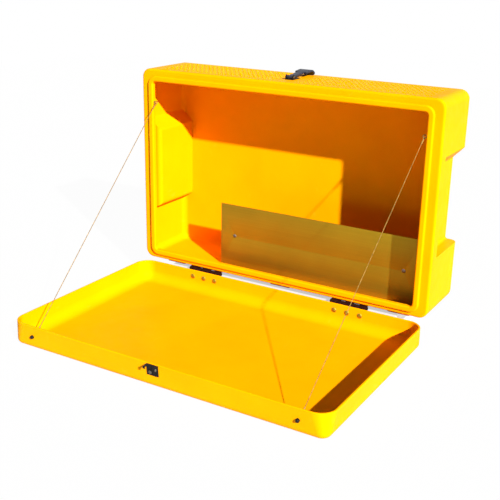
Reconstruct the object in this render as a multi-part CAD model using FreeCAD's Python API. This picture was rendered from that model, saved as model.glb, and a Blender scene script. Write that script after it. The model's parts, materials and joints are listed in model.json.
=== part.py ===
import FreeCAD, Part
import math
import os

# Storage box that stands upright, with a moulded tray lid hinged along its lower front edge.
# Millimetres. +X to the right, +Y to the back, +Z up. The origin is the middle of the
# surface that the moulded skids stand on. The lid is drawn open, level in front of the box.

# Moulded box
width = 1000.0
depth = 222.0
height = 630.0
wall = 6.0
corner_radius = 28.0
rear_edge_radius = 24.0
front_edge_radius = 7.0
side_band = 45.0
top_band = 38.0
sill = 32.0
opening_radius = 10.0
lip_width = 18.0
lip_height = 8.0
lip_round = 5.0

# Skids moulded under the base
skid_height = 16.0
skid_width = 70.0
skid_length = 150.0
skid_end_distance = 100.0
skid_round = 5.0

# Hand recess in each end, open at the rear
recess_start = 36.0
recess_depth = 38.0
recess_ledge = 179.0
recess_straight = 250.0
recess_round = 8.0

# Tray lid
lid_length = 622.0
lid_depth = 71.0
lid_draft = 6.7
lid_wall = 6.0
lid_corner_radius = 48.0
lid_edge_radius = 15.0
lid_floor_radius = 32.0
lid_front_floor_radius = 9.0
lid_gap = 0.5
rim_round = 2.0

# Hinges
hinge_end_distance = 243.0
hinge_width = 117.0
hinge_drop = 8.0
knuckle_radius = 7.0
knuckle_count = 5
hinge_pin_diameter = 8.0
pin_head_radius = 6.0
pin_head_height = 2.0
leaf_thickness = 3.0
leaf_reach = 45.0
hinge_bolt_reach = 22.0
hinge_bolt_pitch = 42.0
hinge_bolts_per_leaf = 3
hinge_bolt_diameter = 8.0

# Wire stays
stay_anchor_drop = 105.0
stay_anchor_setback = 1.5
stay_screw_depth = 14.0
stay_lid_inset = 81.0
stay_lid_reach = 33.0
stay_cable_diameter = 2.0
stay_bolt_diameter = 5.0
eye_radius = 5.0
eye_wire = 3.0
collar_radius = 4.4
collar_height = 2.0
terminal_ring_radius = 4.0
terminal_wire = 2.2
terminal_barrel_diameter = 4.4
terminal_barrel_length = 16.0

# Rubber draw latch and its keeper
latch_pin_setback = 61.0
latch_pin_height = 8.0
latch_pin_diameter = 4.0
latch_plate_front = 54.5
latch_plate_length = 44.0
latch_sheet = 2.6
latch_screw_rows = (20.0, 35.0)
strap_neck_width = 20.0
strap_width = 42.0
strap_thickness = 6.0
strap_eye_radius = 5.0
strap_straight = 98.0
strap_curl_radius = 26.0
strap_curl_angle = 70.0
strap_shoulder_gap = 1.5
strap_shoulder_round = 4.0
strap_tip_round = 9.0
keeper_width = 36.0
keeper_top = 3.0
keeper_length = 32.0
keeper_sheet = 2.5
keeper_hook_width = 37.0
keeper_hook_height = 15.5
keeper_hook_lip = 7.0
keeper_notch_clearance = 1.5
keeper_notch_floor = 5.5
keeper_screw_spread = 16.0
keeper_screw_top = 13.0
keeper_screw_step = 11.0
latch_pin_head_radius = 3.5
latch_pin_head_height = 1.5
small_screw_diameter = 5.0

# Divider plate and the two ties that hold it off the back
divider_bay = 264.0
divider_end_gap = 50.0
divider_setback = 60.0
divider_height = 208.0
divider_sheet = 3.0
tie_height = 25.0
tie_flange = 26.0
tie_level = 110.0
tie_end_distance = 52.0
divider_screw_diameter = 6.0

# Fasteners, as shares of the thread diameter
bolt_head_ratio = 1.05
bolt_crown_ratio = 0.4
nut_washer_ratio = 1.06
nut_washer_rise_ratio = 0.2
nut_flats_ratio = 1.62
nut_rise_ratio = 0.95
thread_proud_ratio = 0.25
cap_ratio = 1.1
cap_skirt_ratio = 0.5
cap_bore_ratio = 0.75
cap_thread_ratio = 0.6

# Clearances
drill_reach = 24.0
same_place = 0.01
fit = 0.05
running = 0.3
side_clearance = 0.4

V = FreeCAD.Vector
X_AXIS = V(1, 0, 0)
Y_AXIS = V(0, 1, 0)
Z_AXIS = V(0, 0, 1)
ORIGIN = V(0, 0, 0)

# Places that several pieces share
front_y = -depth / 2
back_y = depth / 2
base_z = skid_height
floor_z = base_z + wall
top_z = base_z + height
half_width = width / 2
opening_half = half_width - side_band
opening_low = base_z + sill
opening_high = top_z - top_band
pin_y = front_y
pin_z = base_z - hinge_drop
rim_z = pin_z - lid_gap
lid_back_y = pin_y - hinge_drop
lid_front_y = lid_back_y - lid_length
lid_low = rim_z - lid_depth
lid_slope = math.degrees(math.atan2(lid_draft, lid_depth))
hinge_x = half_width - hinge_end_distance
skid_x = half_width - skid_end_distance
divider_left = divider_bay - half_width
divider_right = half_width - divider_end_gap
divider_front_y = front_y + divider_setback
latch_pin_y = front_y + latch_pin_setback
latch_pin_z = top_z + latch_pin_height


def box(x0, x1, y0, y1, z0, z1):
    return Part.makeBox(x1 - x0, y1 - y0, z1 - z0, V(x0, y0, z0))


def rod(start, end, radius):
    span = end - start
    return Part.makeCylinder(radius, span.Length, start, span)


def fused(shapes):
    return shapes[0].fuse(list(shapes[1:])).removeSplitter()


def outline(a0, a1, b0, b1, radius, point):
    """Closed rounded rectangle; point turns each (a, b) pair into a place."""
    diagonal = radius * (1 - math.sqrt(0.5))
    return Part.Wire([
        Part.LineSegment(point(a0 + radius, b0), point(a1 - radius, b0)).toShape(),
        Part.Arc(point(a1 - radius, b0), point(a1 - diagonal, b0 + diagonal),
                 point(a1, b0 + radius)).toShape(),
        Part.LineSegment(point(a1, b0 + radius), point(a1, b1 - radius)).toShape(),
        Part.Arc(point(a1, b1 - radius), point(a1 - diagonal, b1 - diagonal),
                 point(a1 - radius, b1)).toShape(),
        Part.LineSegment(point(a1 - radius, b1), point(a0 + radius, b1)).toShape(),
        Part.Arc(point(a0 + radius, b1), point(a0 + diagonal, b1 - diagonal),
                 point(a0, b1 - radius)).toShape(),
        Part.LineSegment(point(a0, b1 - radius), point(a0, b0 + radius)).toShape(),
        Part.Arc(point(a0, b0 + radius), point(a0 + diagonal, b0 + diagonal),
                 point(a0 + radius, b0)).toShape(),
    ])


def upright_slab(half, z0, z1, radius, y0, y1):
    """Rounded rectangle seen from the front, from y0 back to y1."""
    wire = outline(-half, half, z0, z1, radius, lambda a, b: V(a, y0, b))
    return Part.Face(wire).extrude(V(0, y1 - y0, 0))


def is_along(edge, direction):
    """Whether an edge is straight and runs along a direction."""
    if not isinstance(edge.Curve, Part.Line):
        return False
    return edge.tangentAt(edge.FirstParameter).cross(direction).Length < same_place


def edges_in_plane(shape, axis, value):
    """Edges that lie whole in the plane where that coordinate has that value."""
    found = []
    for edge in shape.Edges:
        middle = edge.valueAt((edge.FirstParameter + edge.LastParameter) / 2)
        places = [vertex.Point for vertex in edge.Vertexes] + [middle]
        if all(abs(place[axis] - value) < same_place for place in places):
            found.append(edge)
    return found


def rounded_in_plane(shape, axis, value, radius):
    return shape.makeFillet(radius, edges_in_plane(shape, axis, value))


def aimed(shape, place, direction):
    """Copy whose own +Z points along direction from place."""
    copy = shape.copy()
    copy.Placement = FreeCAD.Placement(place, FreeCAD.Rotation(Z_AXIS, direction))
    return copy


def mirrored_x(shape):
    return shape.mirror(ORIGIN, X_AXIS)


def pair(shape):
    """Left and right solids of something drawn on the right."""
    return [mirrored_x(shape), shape]


def prism(points, direction):
    """Straight-sided solid over a closed run of points."""
    return Part.Face(Part.makePolygon(points + points[:1])).extrude(direction)


def hexagon(across_flats, tall):
    reach = across_flats / math.sqrt(3)
    turns = [math.radians(60 * step) for step in range(6)]
    return prism([V(reach * math.cos(turn), reach * math.sin(turn), 0) for turn in turns], V(0, 0, tall))


# Fasteners: the underside of the head is at z = 0 and the shank runs along +Z
def dome_bolt(diameter, shank):
    head_radius = bolt_head_ratio * diameter
    head_height = bolt_crown_ratio * diameter
    sphere_radius = (head_radius ** 2 + head_height ** 2) / (2 * head_height)
    cap = Part.makeSphere(sphere_radius, V(0, 0, sphere_radius - head_height))
    keep = Part.makeCylinder(head_radius, head_height, V(0, 0, -head_height))
    return fused([cap.common(keep), Part.makeCylinder(diameter / 2, shank)])


def flange_nut(diameter):
    """Hexagon nut on its own washer face, seated at z = 0."""
    washer = Part.makeCylinder(nut_washer_ratio * diameter, nut_washer_rise_ratio * diameter)
    body = hexagon(nut_flats_ratio * diameter, nut_height(diameter))
    return fused([washer, body]).cut(Part.makeCylinder(diameter / 2 + fit, nut_height(diameter)))


def nut_height(diameter):
    return nut_rise_ratio * diameter


def shank_for(diameter, grip):
    return grip + nut_height(diameter) + thread_proud_ratio * diameter


def hole(diameter, place, direction):
    reach = direction * drill_reach
    return rod(place - reach, place + reach, diameter / 2 + fit)


# Hinge fasteners, drawn for the leaf under the base
def hinge_bolt_places(side):
    middle = (hinge_bolts_per_leaf - 1) / 2
    steps = [(index - middle) * hinge_bolt_pitch for index in range(hinge_bolts_per_leaf)]
    return [V(side * hinge_x + step, pin_y + hinge_bolt_reach, base_z) for step in steps]


def onto_lid(shape):
    """Swing a hinge piece of the box over to the lid, in the lid's open place."""
    swung = shape.mirror(V(0, pin_y, pin_z), Y_AXIS)
    swung.rotate(V(0, pin_y, pin_z), X_AXIS, 90)
    return swung


hinge_sides = (-1, 1)
hinge_bolt_points = [place for side in hinge_sides for place in hinge_bolt_places(side)]
hinge_bolt_holes = [hole(hinge_bolt_diameter, place, Z_AXIS) for place in hinge_bolt_points]
hinge_bolt = dome_bolt(hinge_bolt_diameter, shank_for(hinge_bolt_diameter, leaf_thickness + wall))


def hinge_leaf(side, first_knuckle):
    """Leaf under the base that carries every other knuckle of the row."""
    pitch = hinge_width / knuckle_count
    left = side * hinge_x - hinge_width / 2
    notch = knuckle_radius + running
    leaf_low = base_z - leaf_thickness
    pieces = [box(left, left + hinge_width, pin_y + notch, pin_y + leaf_reach, leaf_low, base_z)]
    for index in range(first_knuckle, knuckle_count, 2):
        start = left + index * pitch + running / 2
        end = start + pitch - running
        pieces.append(rod(V(start, pin_y, pin_z), V(end, pin_y, pin_z), knuckle_radius))
        pieces.append(box(start, end, pin_y, pin_y + notch, leaf_low, base_z))
    bore = rod(V(left, pin_y, pin_z), V(left + hinge_width, pin_y, pin_z), hinge_pin_diameter / 2 + fit)
    return fused(pieces).cut([bore] + hinge_bolt_holes)


def hinge_pin(side):
    left = side * hinge_x - hinge_width / 2
    right = left + hinge_width
    start = V(left - pin_head_height, pin_y, pin_z)
    end = V(right + pin_head_height, pin_y, pin_z)
    heads = [
        rod(start, V(left, pin_y, pin_z), pin_head_radius),
        rod(V(right, pin_y, pin_z), end, pin_head_radius),
    ]
    return fused([rod(start, end, hinge_pin_diameter / 2)] + heads)


# Divider plate, its ties and their fasteners
divider_back_y = divider_front_y + divider_sheet
inner_back_y = back_y - wall
tie_z = base_z + tie_level
tie_screw_xs = (divider_left + tie_end_distance, divider_right - tie_end_distance)
divider_front_points = [V(x, divider_front_y, tie_z) for x in tie_screw_xs]
divider_rear_points = [V(x, back_y, tie_z) for x in tie_screw_xs]
divider_grip = 2 * divider_sheet
rear_grip = wall + divider_sheet
divider_front_holes = [hole(divider_screw_diameter, p, Y_AXIS) for p in divider_front_points]
divider_rear_holes = [hole(divider_screw_diameter, p, Y_AXIS) for p in divider_rear_points]


def divider_plate():
    high = floor_z + divider_height
    plate = box(divider_left, divider_right, divider_front_y, divider_back_y, floor_z, high)
    return plate.cut(divider_front_holes)


def divider_tie(x, toward):
    """Strip from the plate to the back wall, with a flange at each end."""
    web = x - toward * tie_flange / 2
    web_sides = sorted((web, web - toward * divider_sheet))
    flange_sides = sorted((web - toward * divider_sheet, x + toward * tie_flange / 2))
    low = tie_z - tie_height / 2
    high = tie_z + tie_height / 2
    strip = fused([
        box(*web_sides, divider_back_y, inner_back_y, low, high),
        box(*flange_sides, divider_back_y, divider_back_y + divider_sheet, low, high),
        box(*flange_sides, inner_back_y - divider_sheet, inner_back_y, low, high),
    ])
    return strip.cut(divider_front_holes + divider_rear_holes)


def divider_screws():
    front = dome_bolt(divider_screw_diameter, shank_for(divider_screw_diameter, divider_grip))
    rear = dome_bolt(divider_screw_diameter, shank_for(divider_screw_diameter, rear_grip))
    screws = [aimed(front, place, Y_AXIS) for place in divider_front_points]
    return screws + [aimed(rear, place, -Y_AXIS) for place in divider_rear_points]


def divider_nuts():
    nut = flange_nut(divider_screw_diameter)
    nuts = [aimed(nut, place + Y_AXIS * divider_grip, Y_AXIS) for place in divider_front_points]
    return nuts + [aimed(nut, place - Y_AXIS * rear_grip, -Y_AXIS) for place in divider_rear_points]


# Draw latch on the top, behind the front edge
latch_screw_points = [
    V(0, front_y + latch_plate_front + row, top_z)
    for row in latch_screw_rows
]
latch_screw_holes = [hole(small_screw_diameter, place, Z_AXIS) for place in latch_screw_points]
latch_grip = latch_sheet + wall


def latch_bracket():
    inner = strap_neck_width / 2 + side_clearance
    outer = inner + latch_sheet
    plate_y = front_y + latch_plate_front
    plate = box(-outer, outer, plate_y, plate_y + latch_plate_length, top_z, top_z + latch_sheet)
    ear_reach = latch_pin_setback - latch_plate_front
    ear = box(inner, outer, plate_y, plate_y + 2 * ear_reach, top_z, latch_pin_z)
    crown = rod(V(inner, latch_pin_y, latch_pin_z), V(outer, latch_pin_y, latch_pin_z), ear_reach)
    bracket = fused([plate] + pair(ear) + pair(crown))
    bore = rod(V(-outer, latch_pin_y, latch_pin_z), V(outer, latch_pin_y, latch_pin_z),
               latch_pin_diameter / 2 + fit)
    return bracket.cut([bore] + latch_screw_holes)


def latch_pin():
    outer = strap_neck_width / 2 + side_clearance + latch_sheet
    end = outer + latch_pin_head_height
    spindle = rod(V(-end, latch_pin_y, latch_pin_z), V(end, latch_pin_y, latch_pin_z), latch_pin_diameter / 2)
    cap = rod(V(outer, latch_pin_y, latch_pin_z), V(end, latch_pin_y, latch_pin_z), latch_pin_head_radius)
    return fused([spindle] + pair(cap))


def strap_rest_angle():
    """Lift of the strap at which its curled end just clears the top of the box."""
    turn = math.radians(90 - strap_curl_angle)
    inner = strap_curl_radius - strap_thickness / 2
    along = strap_straight + inner * math.cos(turn)
    below = strap_curl_radius - inner * math.sin(turn)
    lift = math.asin((running - latch_pin_height) / math.hypot(along, below))
    return math.degrees(lift + math.atan2(below, along))


def strap_shoulder():
    """Distance from the strap's pin to its shoulders, just past the keeper's prongs on the shut lid."""
    prong_reach = keeper_top + keeper_sheet
    shut_prong_y = pin_y + rim_z - prong_reach - pin_z
    return latch_pin_y - shut_prong_y + strap_shoulder_gap


def latch_strap():
    """Rubber strap: eye and neck, then a wider grip whose shoulders catch the keeper and whose end curls."""
    neck_half = strap_neck_width / 2
    half = strap_width / 2
    thin = strap_thickness / 2
    shoulder = strap_shoulder()
    eye = rod(V(-neck_half, 0, 0), V(neck_half, 0, 0), strap_eye_radius)
    neck = box(-neck_half, neck_half, 0, shoulder, -thin, thin)
    grip = box(-half, half, shoulder, strap_straight, -thin, thin)
    corners = [e for e in grip.Edges if is_along(e, Z_AXIS) and e.CenterOfMass.y < shoulder + thin]
    grip = grip.makeFillet(strap_shoulder_round, corners)
    section = Part.makePolygon([
        V(-half, strap_straight, -thin),
        V(half, strap_straight, -thin),
        V(half, strap_straight, thin),
        V(-half, strap_straight, thin),
        V(-half, strap_straight, -thin),
    ])
    centre = V(0, strap_straight, -strap_curl_radius)
    curl = Part.Face(section).revolve(centre, X_AXIS, -strap_curl_angle)
    turn = math.radians(strap_curl_angle)
    tip_way = V(0, math.sin(turn), math.cos(turn))
    tips = [e for e in curl.Edges if is_along(e, tip_way)]
    curl = curl.makeFillet(strap_tip_round, tips)
    bore = rod(V(-neck_half, 0, 0), V(neck_half, 0, 0), latch_pin_diameter / 2 + fit)
    strap = fused([eye, neck, grip, curl]).cut(bore)
    strap.rotate(ORIGIN, X_AXIS, strap_rest_angle())
    strap.translate(V(0, latch_pin_y, latch_pin_z))
    return strap


def latch_screws():
    screw = dome_bolt(small_screw_diameter, shank_for(small_screw_diameter, latch_grip))
    return [aimed(screw, place + Z_AXIS * latch_sheet, -Z_AXIS) for place in latch_screw_points]


def latch_nuts():
    nut = flange_nut(small_screw_diameter)
    return [aimed(nut, place - Z_AXIS * wall, -Z_AXIS) for place in latch_screw_points]


# Places on the lid's front wall, measured down the wall from its rim
def on_front_wall(x, reach):
    lean = math.radians(lid_slope)
    return V(x, lid_front_y + reach * math.sin(lean), rim_z - reach * math.cos(lean))


lean_angle = math.radians(lid_slope)
front_outward = V(0, -math.cos(lean_angle), -math.sin(lean_angle))
keeper_grip = keeper_sheet + lid_wall
keeper_screw_points = [
    on_front_wall(across * keeper_screw_spread / 2, keeper_top + keeper_screw_top + row * keeper_screw_step)
    for across, row in ((1, 0), (-1, 1))
]
keeper_screw_holes = [hole(small_screw_diameter, p, front_outward) for p in keeper_screw_points]


def keeper():
    """Plate with a forked hook: the strap's neck drops between two prongs whose lips hold its shoulders."""
    hook_half = keeper_hook_width / 2
    half = keeper_width / 2
    notch_half = strap_neck_width / 2 + keeper_notch_clearance
    rise = keeper_hook_height + keeper_sheet
    plate = box(-half, half, -keeper_sheet, 0, -keeper_top - keeper_length, -keeper_top)
    post = box(-hook_half, hook_half, -rise, 0, -keeper_top - keeper_sheet, -keeper_top)
    lip = box(-hook_half, hook_half, -rise, -keeper_hook_height, -keeper_top - keeper_hook_lip, -keeper_top)
    notch = box(-notch_half, notch_half, -2 * rise, -keeper_notch_floor,
                -keeper_top - keeper_length, 0)
    hook = fused([plate, post, lip]).cut(notch)
    hook.rotate(ORIGIN, X_AXIS, lid_slope)
    hook.translate(V(0, lid_front_y, rim_z))
    return hook.cut(keeper_screw_holes)


def keeper_screws():
    screw = dome_bolt(small_screw_diameter, shank_for(small_screw_diameter, keeper_grip))
    seat = front_outward * keeper_sheet
    return [aimed(screw, place + seat, -front_outward) for place in keeper_screw_points]


def keeper_nuts():
    nut = flange_nut(small_screw_diameter)
    return [aimed(nut, place - front_outward * lid_wall, -front_outward) for place in keeper_screw_points]


# Wire stays: a screw eye in the edge of the mouth, an eye bolt in the lid, a swaged terminal
# in each eye and a wire between them
stay_box_point = V(opening_half, front_y + stay_anchor_setback, top_z - stay_anchor_drop)
stay_lid_point = on_front_wall(half_width - stay_lid_inset, stay_lid_reach) - front_outward * lid_wall
mouth_inward = -X_AXIS
lid_inward = -front_outward
stay_box_hole = rod(stay_box_point, stay_box_point - mouth_inward * stay_screw_depth,
                    stay_bolt_diameter / 2 + fit)
stay_lid_hole = hole(stay_bolt_diameter, stay_lid_point, front_outward)
eye_centre_height = collar_height + eye_radius
upper_eye = stay_box_point + mouth_inward * eye_centre_height
lower_eye = stay_lid_point + lid_inward * eye_centre_height
stay_run = lower_eye - upper_eye
stay_direction = stay_run / stay_run.Length
stay_across = X_AXIS.cross(stay_direction)
stay_across.normalize()
stay_sideways = stay_direction.cross(stay_across)
terminal_seat = eye_radius - (eye_wire + terminal_wire) / 2 - running
terminal_reach = terminal_seat + 2 * terminal_ring_radius + terminal_barrel_length


def eye_bolt(seat, outward, ring_axis, shank):
    """Eye above a collar that sits on a face, with its shank behind that face."""
    ring = Part.makeTorus(eye_radius, eye_wire / 2, seat + outward * eye_centre_height, ring_axis)
    collar = rod(seat, seat + outward * collar_height, collar_radius)
    stem = rod(seat - outward * shank, seat, stay_bolt_diameter / 2)
    return fused([ring, collar, stem])


def terminal(eye, toward, ring_axis):
    """Ring that hangs in an eye and the barrel that holds the wire."""
    ring_centre = eye + toward * (terminal_seat + terminal_ring_radius)
    ring = Part.makeTorus(terminal_ring_radius, terminal_wire / 2, ring_centre, ring_axis)
    start = eye + toward * (terminal_seat + 2 * terminal_ring_radius)
    barrel = rod(start, start + toward * terminal_barrel_length, terminal_barrel_diameter / 2)
    return fused([ring, barrel])


def stay_cable():
    start = upper_eye + stay_direction * terminal_reach
    end = lower_eye - stay_direction * terminal_reach
    print("stay wire", round((end - start).Length, 1), "between its terminals")
    return rod(start, end, stay_cable_diameter / 2)


def dome_nut():
    """Capped nut seated at z = 0."""
    radius = cap_ratio * stay_bolt_diameter
    skirt_height = cap_skirt_ratio * stay_bolt_diameter
    skirt = Part.makeCylinder(radius, skirt_height)
    crown = Part.makeSphere(radius, V(0, 0, skirt_height))
    upper = Part.makeCylinder(radius, skirt_height + radius)
    cap = fused([skirt, crown.common(upper)])
    return cap.cut(Part.makeCylinder(stay_bolt_diameter / 2 + fit, cap_bore_ratio * stay_bolt_diameter))


# Moulded shells
def recess_prism(grow, start):
    """Hand recess in the right end, grown by a wall for its inner side."""
    end_x = half_width + wall
    floor_x = half_width - recess_depth - grow
    low = base_z + recess_ledge - grow
    slope_shift = grow * math.sqrt(2)
    bend = base_z + recess_ledge + recess_straight + slope_shift - grow
    points = [
        V(end_x, start, low),
        V(floor_x, start, low),
        V(floor_x, start, bend),
        V(end_x, start, bend + end_x - floor_x),
    ]
    solid = prism(points, V(0, back_y + wall - start, 0))
    return rounded_in_plane(solid, 0, floor_x, recess_round + grow)


def body_shell():
    outer = upright_slab(half_width, base_z, top_z, corner_radius, front_y, back_y)
    outer = rounded_in_plane(outer, 1, back_y, rear_edge_radius)
    outer = rounded_in_plane(outer, 1, front_y, front_edge_radius)
    cavity = upright_slab(half_width - wall, floor_z, top_z - wall, corner_radius - wall,
                          front_y + wall, inner_back_y)
    cavity = rounded_in_plane(cavity, 1, inner_back_y, rear_edge_radius - wall)
    recess = recess_prism(0, front_y + recess_start)
    block = recess_prism(wall, front_y + recess_start - wall)
    cavity = cavity.cut(pair(block))
    lip = upright_slab(opening_half + lip_width, opening_low - lip_width, opening_high + lip_width,
                       opening_radius + lip_width, front_y - lip_height, front_y + wall)
    mouth = upright_slab(opening_half, opening_low, opening_high, opening_radius,
                         front_y - lip_height, front_y + wall)
    lip = rounded_in_plane(lip.cut(mouth), 1, front_y - lip_height, lip_round)
    shell = outer.cut(pair(recess) + [cavity]).cut(mouth).fuse(lip)
    shell = fused([shell] + [skid(step * skid_x) for step in (-1, 0, 1)])
    return shell.cut(hinge_bolt_holes + pair(stay_box_hole) + latch_screw_holes + divider_rear_holes)


def skid(x):
    half = skid_width / 2
    end = skid_length / 2
    wire = outline(x - half, x + half, -end, end, skid_round, lambda a, b: V(a, b, 0))
    return Part.Face(wire).extrude(V(0, 0, skid_height))


def tray(inset, front, low, bottom_radius):
    """Lid block inside the rim outline by inset; the back wall stands square for the hinges."""
    half = half_width - inset
    rear = lid_back_y - inset
    taper = lid_draft * (rim_z - low) / lid_depth
    bottom_corner = bottom_radius + lid_wall
    upper = outline(-half, half, front, rear, lid_corner_radius - inset, lambda a, b: V(a, b, rim_z))
    lower = outline(-half + taper, half - taper, front + taper, rear, bottom_corner,
                    lambda a, b: V(a, b, low))
    block = Part.makeLoft([upper, lower], True, True)
    return rounded_in_plane(block, 2, low, bottom_radius)


def lid_shell():
    """Tray whose floor sweeps up into the back and the ends, and meets the front wall squarely."""
    inner_front = lid_front_y + lid_wall
    inner_low = lid_low + lid_wall
    outer = tray(0, lid_front_y, lid_low, lid_edge_radius)
    hollow = tray(lid_wall, inner_front, inner_low, lid_front_floor_radius)
    sweep = tray(lid_wall, inner_front - lid_length, inner_low, lid_floor_radius)
    shell = rounded_in_plane(outer.cut(hollow.common(sweep)), 2, rim_z, rim_round)
    hinge_holes = [onto_lid(bore) for bore in hinge_bolt_holes]
    return shell.cut(hinge_holes + pair(stay_lid_hole) + keeper_screw_holes)


os.makedirs("parts", exist_ok=True)


def save(name, shape):
    solids = shape if isinstance(shape, list) else [shape]
    whole = solids[0] if len(solids) == 1 else Part.makeCompound(solids)
    whole.exportStep("parts/" + name + ".step")


save("body_shell", body_shell())
save("lid_shell", lid_shell())

save("divider_plate", divider_plate())
save("divider_tie_left", divider_tie(tie_screw_xs[0], 1))
save("divider_tie_right", divider_tie(tie_screw_xs[1], -1))
save("divider_screws", divider_screws())
save("divider_nuts", divider_nuts())

for side, word in zip(hinge_sides, ("left", "right")):
    save("hinge_" + word + "_box_leaf", hinge_leaf(side, 0))
    save("hinge_" + word + "_lid_leaf", onto_lid(hinge_leaf(side, 1)))
    save("hinge_" + word + "_pin", hinge_pin(side))

box_bolts = [aimed(hinge_bolt, place + Z_AXIS * wall, -Z_AXIS) for place in hinge_bolt_points]
hinge_nut = flange_nut(hinge_bolt_diameter)
box_nuts = [aimed(hinge_nut, place - Z_AXIS * leaf_thickness, -Z_AXIS) for place in hinge_bolt_points]
save("hinge_box_bolts", box_bolts)
save("hinge_box_nuts", box_nuts)
save("hinge_lid_bolts", [onto_lid(bolt) for bolt in box_bolts])
save("hinge_lid_nuts", [onto_lid(nut) for nut in box_nuts])

box_eye = eye_bolt(stay_box_point, mouth_inward, stay_across, stay_screw_depth)
lid_eye = eye_bolt(stay_lid_point, lid_inward, X_AXIS, lid_wall + cap_thread_ratio * stay_bolt_diameter)
lid_eye_nut = aimed(dome_nut(), stay_lid_point + front_outward * lid_wall, front_outward)
upper_terminal = terminal(upper_eye, stay_direction, stay_sideways)
lower_terminal = terminal(lower_eye, -stay_direction, stay_across)
wire = stay_cable()
for word, turned in (("left", mirrored_x), ("right", lambda shape: shape)):
    save("stay_eye_box_" + word, turned(box_eye))
    save("stay_eye_lid_" + word, turned(lid_eye))
    save("stay_terminal_upper_" + word, turned(upper_terminal))
    save("stay_terminal_lower_" + word, turned(lower_terminal))
    save("stay_cable_" + word, turned(wire))
save("stay_lid_dome_nuts", pair(lid_eye_nut))

save("latch_bracket", latch_bracket())
save("latch_pin", latch_pin())
save("latch_strap", latch_strap())
save("latch_screws", latch_screws())
save("latch_nuts", latch_nuts())
save("keeper", keeper())
save("keeper_screws", keeper_screws())
save("keeper_nuts", keeper_nuts())
print("strap rest lift", round(strap_rest_angle(), 3), "degrees")
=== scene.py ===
import json
import math

import bpy
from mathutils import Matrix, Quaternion, Vector


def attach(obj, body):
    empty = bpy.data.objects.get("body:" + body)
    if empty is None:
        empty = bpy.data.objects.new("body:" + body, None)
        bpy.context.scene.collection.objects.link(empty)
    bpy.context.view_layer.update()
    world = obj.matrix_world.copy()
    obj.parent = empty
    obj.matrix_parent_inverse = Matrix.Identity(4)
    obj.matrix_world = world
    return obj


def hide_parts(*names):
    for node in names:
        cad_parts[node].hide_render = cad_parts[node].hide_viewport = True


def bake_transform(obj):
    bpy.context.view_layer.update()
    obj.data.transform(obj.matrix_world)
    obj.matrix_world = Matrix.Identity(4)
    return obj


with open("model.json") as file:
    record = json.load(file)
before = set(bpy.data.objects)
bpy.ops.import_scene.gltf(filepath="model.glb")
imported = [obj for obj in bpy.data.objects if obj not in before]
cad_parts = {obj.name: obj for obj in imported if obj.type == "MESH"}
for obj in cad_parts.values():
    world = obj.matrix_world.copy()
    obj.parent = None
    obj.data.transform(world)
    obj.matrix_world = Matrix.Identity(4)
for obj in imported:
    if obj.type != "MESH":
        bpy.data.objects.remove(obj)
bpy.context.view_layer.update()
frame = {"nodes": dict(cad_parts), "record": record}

# Storage box standing upright, its tray lid hanging open in front on two wire stays.
# Metres, in the frame of the solids: +X right, +Y back, +Z up, skids standing on z = 0.

scene = bpy.context.scene
scene.view_settings.view_transform = "Standard"

# Camera
camera_place = Vector((1.2195, -2.3264, 1.0092))
camera_target = Vector((-0.0898, -0.1110, 0.1138))
camera_roll = math.radians(1.087)
camera_lens = 62.368
camera_sensor = 36.0
camera_reach = 50.0

# Light
sun_direction = Vector((0.74, -0.48, 0.48))
sun_strength = 9.4
sun_angle = math.radians(1.2)
fill_strength = 0.13
backdrop_strength = 1.0

# Ground
floor_level = -0.065
floor_half = 5.0
floor_glow = 0.975
plinth_half_width = 0.40
plinth_front = -0.095
plinth_back = 0.100
plinth_glow = 0.55
ground_roughness = 0.85

# Wire stays, from the upper terminal to the lower one on the right side
stay_start = Vector((0.4470947, -0.1287133, 0.5233578))
stay_end = Vector((0.4199053, -0.7057437, -0.0064898))
stay_diameter = 0.002
stay_outer_wires = 12
stay_wire_diameter = stay_diameter / 5
stay_core_diameter = 3 * stay_wire_diameter
stay_lay = 0.017
stay_steps_per_lay = 12
stay_core_steps = 8
stay_wire_bevel = 1
stay_core_bevel = 2
stay_lead = 6 * stay_diameter
route_order = 3
route_resolution = 60

# Anti-slip tread moulded on the top, on both sides of the latch
top_level = 0.646
tread_length = 0.0095
tread_width = 0.0042
tread_height = 0.0008
tread_sink = 0.0004
tread_inset = 0.18 * tread_width
tread_crown = 0.25 * tread_height
tread_step_x = 0.016
tread_step_y = 0.024
tread_columns = 25
tread_rows = 7
tread_inner_x = 0.052
tread_front_y = -0.0815

# Rounding of hard edges, by node
edge_round = {
    "latch_strap": 0.0013,
    "latch_bracket": 0.0006,
    "keeper": 0.0006,
    "divider_plate": 0.0006,
    "divider_tie_left": 0.0005,
    "divider_tie_right": 0.0005,
    "hinge_left_box_leaf": 0.0004,
    "hinge_left_lid_leaf": 0.0004,
    "hinge_right_box_leaf": 0.0004,
    "hinge_right_lid_leaf": 0.0004,
    "hinge_left_pin": 0.0005,
    "hinge_right_pin": 0.0005,
    "hinge_box_nuts": 0.0004,
    "hinge_lid_nuts": 0.0004,
    "divider_nuts": 0.0003,
    "latch_nuts": 0.0003,
    "keeper_nuts": 0.0003,
    "latch_pin": 0.0003,
}
edge_segments = 3
edge_angle = math.radians(30)
flat_angle = math.radians(0.4)
merge_distance = 0.00001

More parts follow.
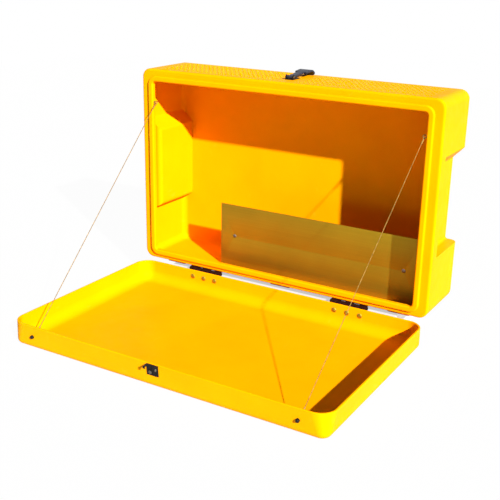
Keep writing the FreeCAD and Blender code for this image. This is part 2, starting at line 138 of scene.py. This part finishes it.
# Colours, linear
white = (1.0, 1.0, 1.0)
black = (0.0, 0.0, 0.0)
yellow_deep = (0.86, 0.325, 0.0)
yellow_light = (0.90, 0.355, 0.0)
yellow_speck = (0.95, 0.94, 0.9)
yellow_sheen = (1.0, 0.70, 0.10, 1.0)
scuff_share = (0.16, 0.16, 0.16)
scuff_deep = (0.90, 0.42, 0.015)
scuff_light = (0.92, 0.45, 0.02)
# Divider sheet: metal tone tinted yellow-orange, a painted reflection of the yellow box round it
sheet_metal_and_reflection_dark = (0.325, 0.212, 0.012)
sheet_metal_and_reflection_light = (0.367, 0.245, 0.015)
sheet_cloud = (0.88, 0.87, 0.86)
ground_dark = (0.52, 0.52, 0.51)
ground_light = (0.56, 0.56, 0.55)

# Middle stretch of a noise value, where most of it lies
noise_low = 0.3
noise_high = 0.7

body_of_node = {
    node: body for body, nodes in frame["record"]["behaviour"]["bodies"].items() for node in nodes
}
slot_of_node = {row["node"]: row["material_slot"] for row in frame["record"]["subparts"]}


# Bench tools
def choose(*objects):
    """Selects these objects alone and makes the first one active."""
    bpy.ops.object.select_all(action="DESELECT")
    for obj in objects:
        obj.select_set(True)
    bpy.context.view_layer.objects.active = objects[0]


def settle(obj):
    """Puts the object's place, turn and size into its mesh."""
    choose(obj)
    bpy.ops.object.transform_apply(location=True, rotation=True, scale=True)


def apply_modifier(obj, kind, **settings):
    """Adds a modifier with these settings and applies it."""
    choose(obj)
    modifier = obj.modifiers.new(kind.title(), kind)
    for name, value in settings.items():
        setattr(modifier, name, value)
    bpy.ops.object.modifier_apply(modifier=modifier.name)


def smooth(obj):
    """Shades the piece smooth, with edges sharper than edge_angle left crisp."""
    choose(obj)
    bpy.ops.object.shade_smooth_by_angle(angle=edge_angle)


# Finishes
def new_finish(name):
    material = bpy.data.materials.new(name)
    material.use_nodes = True
    return material


def shader_of(material):
    return material.node_tree.nodes["Principled BSDF"]


def grain(material, scale, detail=2.0, stretch=(1.0, 1.0, 1.0)):
    """Noise over the piece's own coordinates; returns the value socket."""
    tree = material.node_tree
    place = tree.nodes.new("ShaderNodeTexCoord")
    mapping = tree.nodes.new("ShaderNodeMapping")
    mapping.inputs["Scale"].default_value = stretch
    noise = tree.nodes.new("ShaderNodeTexNoise")
    noise.inputs["Scale"].default_value = scale
    noise.inputs["Detail"].default_value = detail
    tree.links.new(place.outputs["Object"], mapping.inputs["Vector"])
    tree.links.new(mapping.outputs["Vector"], noise.inputs["Vector"])
    return noise.outputs["Fac"]


def tint(material, value, first, second, start=noise_low, end=noise_high):
    """Colour that goes from first to second as the value goes from start to end."""
    ramp = material.node_tree.nodes.new("ShaderNodeValToRGB")
    stops = ((start, first), (end, second))
    for element, (position, colour) in zip(ramp.color_ramp.elements, stops):
        element.position = position
        element.color = (*colour, 1.0)
    material.node_tree.links.new(value, ramp.inputs["Fac"])
    return ramp.outputs["Color"]


def spread(material, value, low, high):
    """Stretches the middle of a noise value over low to high."""
    reach = material.node_tree.nodes.new("ShaderNodeMapRange")
    reach.inputs["From Min"].default_value = noise_low
    reach.inputs["From Max"].default_value = noise_high
    reach.inputs["To Min"].default_value = low
    reach.inputs["To Max"].default_value = high
    material.node_tree.links.new(value, reach.inputs["Value"])
    return reach.outputs["Result"]


def blend_colours(material, mode, first, second, amount=None):
    """Mixes two colours, all the way or by an amount socket."""
    mix = material.node_tree.nodes.new("ShaderNodeMix")
    mix.data_type = "RGBA"
    mix.blend_type = mode
    mix.inputs["Factor"].default_value = 1.0
    if amount:
        material.node_tree.links.new(amount, mix.inputs["Factor"])
    material.node_tree.links.new(first, mix.inputs["A"])
    material.node_tree.links.new(second, mix.inputs["B"])
    return mix.outputs["Result"]


def relief(material, value, strength, depth):
    """Adds a bump on top of those that the finish already has."""
    tree = material.node_tree
    normal = shader_of(material).inputs["Normal"]
    bump = tree.nodes.new("ShaderNodeBump")
    bump.inputs["Strength"].default_value = strength
    bump.inputs["Distance"].default_value = depth
    tree.links.new(value, bump.inputs["Height"])
    if normal.links:
        tree.links.new(normal.links[0].from_socket, bump.inputs["Normal"])
    tree.links.new(bump.outputs["Normal"], normal)


def paint(material, colour, roughness=None, **constants):
    """Links colour and roughness sockets and sets what is the same all over."""
    shader = shader_of(material)
    material.node_tree.links.new(colour, shader.inputs["Base Color"])
    if roughness:
        material.node_tree.links.new(roughness, shader.inputs["Roughness"])
    for name, value in constants.items():
        shader.inputs[name.replace("_", " ")].default_value = value


def yellow_moulding():
    """Satin moulded polyethylene with a faint mottle, orange peel and light scuffs."""
    material = new_finish("yellow_plastic")
    mottle = tint(material, grain(material, scale=7.0, detail=4.0), yellow_deep, yellow_light)
    speck = tint(material, grain(material, scale=900.0), yellow_speck, white, end=0.6)
    body = blend_colours(material, "MULTIPLY", mottle, speck)
    scuff_lines = grain(material, scale=60.0, detail=6.0, stretch=(1.0, 0.22, 0.6))
    scuff = tint(material, scuff_lines, black, scuff_share, start=0.66, end=0.72)
    pale = tint(material, grain(material, scale=25.0), scuff_deep, scuff_light, start=0.0, end=1.0)
    colour = blend_colours(material, "MIX", body, pale, amount=scuff)
    roughness = spread(material, grain(material, scale=38.0, detail=4.0), low=0.46, high=0.58)
    relief(material, grain(material, scale=11.0), strength=0.12, depth=0.004)
    relief(material, grain(material, scale=420.0), strength=0.10, depth=0.0006)
    relief(material, grain(material, scale=1500.0), strength=0.05, depth=0.0003)
    paint(material, colour, roughness, Specular_IOR_Level=0.04, Specular_Tint=yellow_sheen)
    return material


def brushed_sheet():
    """Mill-finish sheet with rolling lines along its length; its metal tone is tinted yellow-orange as
    a painted reflection of the yellow box round it.
    """
    material = new_finish("divider_metal")
    lines = grain(material, scale=1.0, detail=3.0, stretch=(3.0, 620.0, 620.0))
    line_and_reflection_tone = tint(material, lines, sheet_metal_and_reflection_dark, sheet_metal_and_reflection_light)
    cloud_tone = tint(material, grain(material, scale=9.0, detail=4.0), sheet_cloud, white)
    colour = blend_colours(material, "MULTIPLY", line_and_reflection_tone, cloud_tone)
    roughness = spread(material, lines, low=0.44, high=0.50)
    relief(material, lines, strength=0.02, depth=0.0002)
    paint(material, colour, roughness, Metallic=0.86, Specular_IOR_Level=0.1)
    return material


def plated(name, dark, light, low, high):
    """Plated steel: cloudy tone, roughness from low to high, fine tumbling marks."""
    material = new_finish(name)
    colour = tint(material, grain(material, scale=160.0, detail=4.0), dark, light)
    roughness = spread(material, grain(material, scale=420.0, detail=3.0), low, high)
    relief(material, grain(material, scale=1400.0, detail=3.0), strength=0.08, depth=0.0002)
    paint(material, colour, roughness, Metallic=1.0)
    return material


def coated(name, dark, light, low, high, depth, shine):
    """Coated or oxidised steel, or rubber: dull, faintly pebbled."""
    material = new_finish(name)
    colour = tint(material, grain(material, scale=120.0, detail=5.0), dark, light, start=0.32, end=0.68)
    roughness = spread(material, grain(material, scale=300.0, detail=3.0), low, high)
    relief(material, grain(material, scale=1800.0), strength=0.18, depth=depth)
    paint(material, colour, roughness, Specular_IOR_Level=shine)
    return material


finishes = {
    "yellow_plastic": yellow_moulding(),
    "divider_metal": brushed_sheet(),
    "dark_hinge_steel": coated(
        "dark_hinge_steel", dark=(0.010, 0.0015, 0.0008), light=(0.018, 0.003, 0.0015),
        low=0.55, high=0.70, depth=0.0003, shine=0.10,
    ),
    "zinc_gold": plated(
        "zinc_gold", dark=(0.27, 0.19, 0.015), light=(0.36, 0.26, 0.03), low=0.40, high=0.54,
    ),
    # Stay wires and their fittings: the golden tint on the steel is a painted reflection of the yellow
    # box
    "stay_steel": plated(
        "stay_steel", dark=(0.27, 0.162, 0.036), light=(0.32, 0.20, 0.052), low=0.58, high=0.70,
    ),
    "screw_steel": plated(
        "screw_steel", dark=(0.14, 0.125, 0.10), light=(0.21, 0.19, 0.155), low=0.38, high=0.52,
    ),
    "black_steel": coated(
        "black_steel", dark=(0.004, 0.0035, 0.003), light=(0.010, 0.009, 0.008),
        low=0.40, high=0.55, depth=0.0003, shine=0.12,
    ),
    # Latch strap: the blue in its black is a painted reflection of blue sky
    "black_rubber": coated(
        "black_rubber", dark=(0.009, 0.011, 0.020), light=(0.020, 0.024, 0.040),
        low=0.44, high=0.60, depth=0.0004, shine=0.25,
    ),
}


def finish(obj, slot):
    obj.data.materials.clear()
    obj.data.materials.append(finishes[slot])


for node, obj in frame["nodes"].items():
    finish(obj, slot_of_node[node])


# Camera
def set_camera():
    data = bpy.data.cameras.new("camera")
    data.lens = camera_lens
    data.sensor_width = camera_sensor
    data.clip_end = camera_reach
    camera = bpy.data.objects.new("camera", data)
    scene.collection.objects.link(camera)
    look = (camera_target - camera_place).to_track_quat("-Z", "Y")
    camera.location = camera_place
    camera.rotation_mode = "QUATERNION"
    camera.rotation_quaternion = look @ Quaternion((0, 0, 1), camera_roll)
    scene.camera = camera


set_camera()


# Wire stays
def route_points(name, points):
    """Points along a smooth spline that has these as its control points."""
    data = bpy.data.curves.new(name, "CURVE")
    data.dimensions = "3D"
    spline = data.splines.new("NURBS")
    spline.points.add(len(points) - 1)
    for place, point in zip(spline.points, points):
        place.co = (*point, 1.0)
    spline.order_u = route_order
    spline.use_endpoint_u = True
    spline.resolution_u = route_resolution
    route = bpy.data.objects.new(name, data)
    scene.collection.objects.link(route)
    bpy.context.view_layer.update()
    mesh = bpy.data.meshes.new_from_object(route)
    line = [vertex.co.copy() for vertex in mesh.vertices]
    bpy.data.objects.remove(route)
    bpy.data.meshes.remove(mesh)
    return line


def along_line(line, reach):
    """Place on a line of points at that distance from its start."""
    for first, second in zip(line, line[1:]):
        step = (second - first).length
        if reach <= step:
            return first.lerp(second, reach / step)
        reach -= step
    return line[-1]


def wire(name, line, turn, radius, diameter):
    """One wire laid round the line, starting at that turn; radius 0 is the core."""
    length = sum((second - first).length for first, second in zip(line, line[1:]))
    direction = (line[-1] - line[0]).normalized()
    side = direction.orthogonal().normalized()
    across = direction.cross(side)
    steps = round(length / stay_lay * stay_steps_per_lay) if radius else stay_core_steps
    data = bpy.data.curves.new(name, "CURVE")
    data.dimensions = "3D"
    data.bevel_depth = diameter / 2
    data.bevel_resolution = stay_wire_bevel if radius else stay_core_bevel
    data.use_fill_caps = True
    spline = data.splines.new("POLY")
    spline.points.add(steps)
    for index, place in enumerate(spline.points):
        reach = length * index / steps
        angle = turn + 2 * math.pi * reach / stay_lay
        offset = side * math.cos(angle) + across * math.sin(angle)
        place.co = (*(along_line(line, reach) + offset * radius), 1.0)
    obj = bpy.data.objects.new(name, data)
    scene.collection.objects.link(obj)
    return obj


def wire_stay(word, side):
    """Twelve wires round a core, taut between its two terminals."""
    start = Vector((side * stay_start.x, stay_start.y, stay_start.z))
    end = Vector((side * stay_end.x, stay_end.y, stay_end.z))
    lead = (end - start).normalized() * stay_lead
    line = route_points("stay_route_" + word, [start, start + lead, end - lead, end])
    ring = (stay_diameter - stay_wire_diameter) / 2
    wires = [wire("core_" + word, line, 0.0, 0.0, stay_core_diameter)]
    for index in range(stay_outer_wires):
        turn = 2 * math.pi * index / stay_outer_wires
        wires.append(wire("wire_" + word, line, turn, ring, stay_wire_diameter))
    choose(*wires)
    bpy.ops.object.convert(target="MESH")
    choose(*wires)
    bpy.ops.object.join()
    stay = bpy.context.view_layer.objects.active
    stay.name = "wire_stay_" + word
    smooth(stay)
    finish(stay, "stay_steel")
    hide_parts("stay_cable_" + word)
    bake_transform(stay)


wire_stay("left", -1)
wire_stay("right", 1)


# Hardware with broken edges
def rounded_copy(node):
    """Puts a copy whose hard edges are rounded over in place of a solid."""
    source = frame["nodes"][node]
    piece = source.copy()
    piece.data = source.data.copy()
    piece.parent = None
    piece.name = node + "_rounded"
    scene.collection.objects.link(piece)
    choose(piece)
    bpy.ops.object.mode_set(mode="EDIT")
    bpy.ops.mesh.select_all(action="SELECT")
    bpy.ops.mesh.remove_doubles(threshold=merge_distance)
    bpy.ops.mesh.dissolve_limited(angle_limit=flat_angle)
    bpy.ops.object.mode_set(mode="OBJECT")
    apply_modifier(
        piece, "BEVEL", width=edge_round[node], segments=edge_segments, limit_method="ANGLE",
        angle_limit=edge_angle, use_clamp_overlap=False,
    )
    smooth(piece)
    finish(piece, slot_of_node[node])
    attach(piece, body_of_node[node])
    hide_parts(node)


for node in edge_round:
    rounded_copy(node)


# Anti-slip tread
def tread_bar(x, y):
    """One raised bar, its length from front to back, narrowed towards its top."""
    bpy.ops.object.select_all(action="DESELECT")
    middle = top_level + (tread_height - tread_sink) / 2
    bpy.ops.mesh.primitive_cube_add(size=1.0, location=(x, y, middle))
    bar = bpy.context.view_layer.objects.active
    bar.scale = (tread_width, tread_length, tread_height + tread_sink)
    settle(bar)
    for corner in bar.data.vertices:
        corner.select = corner.co.z > middle
    for face in bar.data.polygons:
        face.select = all(bar.data.vertices[corner].select for corner in face.vertices)
    choose(bar)
    bpy.ops.object.mode_set(mode="EDIT")
    bpy.ops.mesh.inset(thickness=tread_inset, depth=0.0)
    bpy.ops.transform.translate(value=(0, 0, tread_crown))
    bpy.ops.object.mode_set(mode="OBJECT")
    return bar


def tread_panel(word, side):
    """Rows of bars set alternately, on one side of the latch."""
    left = tread_inner_x if side > 0 else -tread_inner_x - (tread_columns - 1) * tread_step_x
    first = tread_bar(left, tread_front_y)
    second = tread_bar(left + tread_step_x / 2, tread_front_y + tread_step_y / 2)
    choose(first, second)
    bpy.ops.object.join()
    panel = bpy.context.view_layer.objects.active
    panel.name = "top_tread_" + word
    repeats = (
        (tread_columns, (tread_step_x, 0, 0)),
        (tread_rows, (0, tread_step_y, 0)),
    )
    for count, step in repeats:
        apply_modifier(
            panel, "ARRAY", count=count, use_relative_offset=False, use_constant_offset=True,
            constant_offset_displace=step,
        )
    settle(panel)
    smooth(panel)
    finish(panel, "yellow_plastic")
    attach(panel, "box")


tread_panel("left", -1)
tread_panel("right", 1)


# Pale ground: a floor below the open lid and a low plinth that the box stands on
def ground_finish(name, glow_share):
    """Pale ground that stays near white to the eye and still takes a soft shadow."""
    material = new_finish(name)
    tree = material.node_tree
    tone = tint(material, grain(material, scale=3.0), ground_dark, ground_light)
    paint(material, tone, Roughness=ground_roughness)
    glow = tree.nodes.new("ShaderNodeEmission")
    glow.inputs["Strength"].default_value = backdrop_strength
    paths = tree.nodes.new("ShaderNodeLightPath")
    share = tree.nodes.new("ShaderNodeMath")
    share.operation = "MULTIPLY"
    share.inputs[1].default_value = glow_share
    mix = tree.nodes.new("ShaderNodeMixShader")
    tree.links.new(paths.outputs["Is Camera Ray"], share.inputs[0])
    tree.links.new(share.outputs["Value"], mix.inputs["Fac"])
    tree.links.new(shader_of(material).outputs["BSDF"], mix.inputs[1])
    tree.links.new(glow.outputs["Emission"], mix.inputs[2])
    tree.links.new(mix.outputs["Shader"], tree.nodes["Material Output"].inputs["Surface"])
    return material


def ground():
    bpy.ops.object.select_all(action="DESELECT")
    bpy.ops.mesh.primitive_plane_add(size=2 * floor_half, location=(0, 0, floor_level))
    floor = bpy.context.view_layer.objects.active
    floor.name = "floor"
    bpy.ops.object.select_all(action="DESELECT")
    middle = (plinth_front + plinth_back) / 2
    bpy.ops.mesh.primitive_cube_add(size=1.0, location=(0, middle, floor_level / 2))
    plinth = bpy.context.view_layer.objects.active
    plinth.name = "plinth"
    plinth.scale = (2 * plinth_half_width, plinth_back - plinth_front, -floor_level)
    for obj, glow_share in ((floor, floor_glow), (plinth, plinth_glow)):
        settle(obj)
        obj.data.materials.append(ground_finish("pale_" + obj.name, glow_share))


# Low sun from the right, and a white surround that lights shaded sides only a little
def set_sun():
    data = bpy.data.lights.new("sun", "SUN")
    data.energy = sun_strength
    data.angle = sun_angle
    sun = bpy.data.objects.new("sun", data)
    scene.collection.objects.link(sun)
    sun.rotation_mode = "QUATERNION"
    sun.rotation_quaternion = (-sun_direction).to_track_quat("-Z", "Y")


def set_surround():
    """White to the eye and in reflections, dim as a light."""
    world = bpy.data.worlds.new("studio")
    world.use_nodes = True
    scene.world = world
    tree = world.node_tree
    background = tree.nodes["Background"]
    background.inputs["Color"].default_value = (*white, 1.0)
    paths = tree.nodes.new("ShaderNodeLightPath")
    seen = tree.nodes.new("ShaderNodeMath")
    seen.operation = "MAXIMUM"
    level = tree.nodes.new("ShaderNodeMapRange")
    level.inputs["To Min"].default_value = fill_strength
    level.inputs["To Max"].default_value = backdrop_strength
    tree.links.new(paths.outputs["Is Camera Ray"], seen.inputs[0])
    tree.links.new(paths.outputs["Is Glossy Ray"], seen.inputs[1])
    tree.links.new(seen.outputs["Value"], level.inputs["Value"])
    tree.links.new(level.outputs["Result"], background.inputs["Strength"])


ground()
set_sun()
set_surround()
